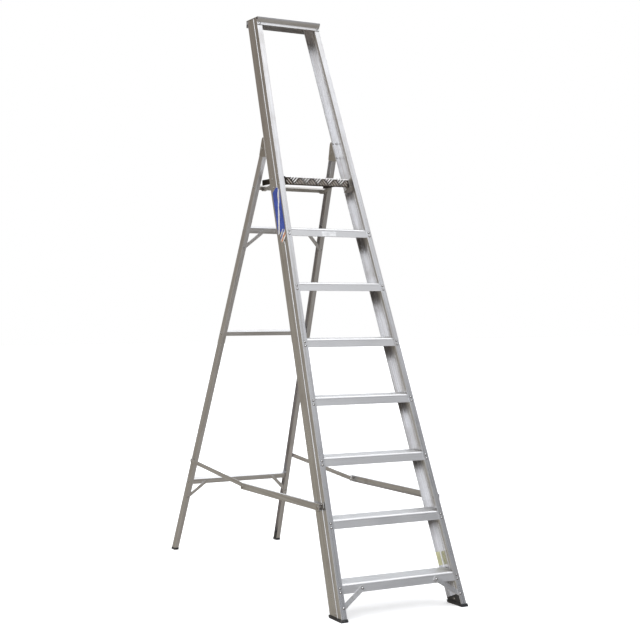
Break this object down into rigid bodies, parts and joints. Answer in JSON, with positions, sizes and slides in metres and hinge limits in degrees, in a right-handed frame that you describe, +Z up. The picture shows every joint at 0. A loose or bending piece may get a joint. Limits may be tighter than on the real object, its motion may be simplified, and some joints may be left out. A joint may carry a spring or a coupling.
{
  "type": "folding platform step ladder",
  "caption": "Folding aluminium step ladder with flat treads, a hinged chequer-plate platform, a handrail with a top cap, a swinging rear frame and folding side stays.",
  "frame": {"origin": "on the floor, under the middle of the open ladder's bounding box", "axes": "+Z up; +Y away from the climber, from the treads towards the rear frame; +X to the climber's right"},
  "size_m": [0.5898, 1.7132, 2.5188],
  "materials": {
    "mill_aluminium": "mill finish extrusion, fine drawn lines",
    "tread_extrusion": "ribbed extrusion, satin",
    "chequer_plate": "five-bar chequer plate",
    "zinc_steel": "zinc plated, dull",
    "black_plastic": "moulded, matte",
    "blue_vinyl": "printed vinyl label, satin"
  },
  "bodies": {
    "front_frame": {"left_stile": "mill_aluminium", "right_stile": "mill_aluminium", "tread_1": "tread_extrusion", "tread_2": "tread_extrusion", "tread_3": "tread_extrusion", "tread_4": "tread_extrusion", "tread_5": "tread_extrusion", "tread_6": "tread_extrusion", "tread_7": "tread_extrusion", "top_cap": "mill_aluminium", "left_front_foot": "black_plastic", "right_front_foot": "black_plastic", "left_foot_screw": "zinc_steel", "right_foot_screw": "zinc_steel", "left_front_brace": "mill_aluminium", "right_front_brace": "mill_aluminium", "left_hinge_bracket": "zinc_steel", "right_hinge_bracket": "zinc_steel", "left_hinge_pin": "zinc_steel", "right_hinge_pin": "zinc_steel", "left_platform_bracket": "mill_aluminium", "right_platform_bracket": "mill_aluminium", "left_stay_plate": "zinc_steel", "right_stay_plate": "zinc_steel", "label_front_strip": "blue_vinyl", "label_rear_strip": "blue_vinyl"},
    "rear_frame": {"left_rear_leg": "mill_aluminium", "right_rear_leg": "mill_aluminium", "left_rear_foot": "black_plastic", "right_rear_foot": "black_plastic", "left_hinge_bush": "zinc_steel", "right_hinge_bush": "zinc_steel", "platform_support_bar": "mill_aluminium", "upper_cross_bar": "mill_aluminium", "middle_cross_bar": "mill_aluminium", "lower_cross_bar": "mill_aluminium", "left_upper_knee_brace": "mill_aluminium", "right_upper_knee_brace": "mill_aluminium", "left_lower_knee_brace": "mill_aluminium", "right_lower_knee_brace": "mill_aluminium", "left_platform_strap": "zinc_steel", "right_platform_strap": "zinc_steel", "left_strap_bolt": "zinc_steel", "right_strap_bolt": "zinc_steel", "left_rear_stay_bolt": "zinc_steel", "right_rear_stay_bolt": "zinc_steel"},
    "platform": {"platform_tray": "chequer_plate", "left_platform_pin": "zinc_steel", "right_platform_pin": "zinc_steel"},
    "left_front_stay": {"left_front_stay": "mill_aluminium", "left_front_stay_bolt": "zinc_steel", "left_knuckle_rivet": "zinc_steel"},
    "left_rear_stay": {"left_rear_stay": "mill_aluminium"},
    "right_front_stay": {"right_front_stay": "mill_aluminium", "right_front_stay_bolt": "zinc_steel", "right_knuckle_rivet": "zinc_steel"},
    "right_rear_stay": {"right_rear_stay": "mill_aluminium"}
  },
  "joints": [
    {"name": "rear_frame_fold", "type": "hinge", "parent": "front_frame", "child": "rear_frame", "pos_m": [0, 0.0506, 1.907], "axis": [-1, 0, 0], "range_deg": [0, 43]},
    {"name": "platform_tilt", "type": "hinge", "parent": "front_frame", "child": "platform", "pos_m": [0, -0.1009, 1.757], "axis": [1, 0, 0], "range_deg": [0, 68.2]},
    {"name": "left_front_stay_swing", "type": "hinge", "parent": "front_frame", "child": "left_front_stay", "pos_m": [-0.2738, -0.6454, 0.415], "axis": [1, 0, 0], "range_deg": [0, 56.2]},
    {"name": "left_rear_stay_swing", "type": "hinge", "parent": "rear_frame", "child": "left_rear_stay", "pos_m": [-0.2696, 0.6526, 0.459], "axis": [-1, 0, 0], "range_deg": [0, 75.4]},
    {"name": "right_front_stay_swing", "type": "hinge", "parent": "front_frame", "child": "right_front_stay", "pos_m": [0.2738, -0.6454, 0.415], "axis": [1, 0, 0], "range_deg": [0, 56.2]},
    {"name": "right_rear_stay_swing", "type": "hinge", "parent": "rear_frame", "child": "right_rear_stay", "pos_m": [0.2696, 0.6526, 0.459], "axis": [-1, 0, 0], "range_deg": [0, 75.4]}
  ],
  "couplings": [
    {"joint": "platform_tilt", "follows": "rear_frame_fold", "ratio": 1.585},
    {"joint": "left_front_stay_swing", "follows": "rear_frame_fold", "ratio": 1.3042},
    {"joint": "left_rear_stay_swing", "follows": "rear_frame_fold", "ratio": 1.751},
    {"joint": "right_front_stay_swing", "follows": "rear_frame_fold", "ratio": 1.3042},
    {"joint": "right_rear_stay_swing", "follows": "rear_frame_fold", "ratio": 1.751}
  ]
}
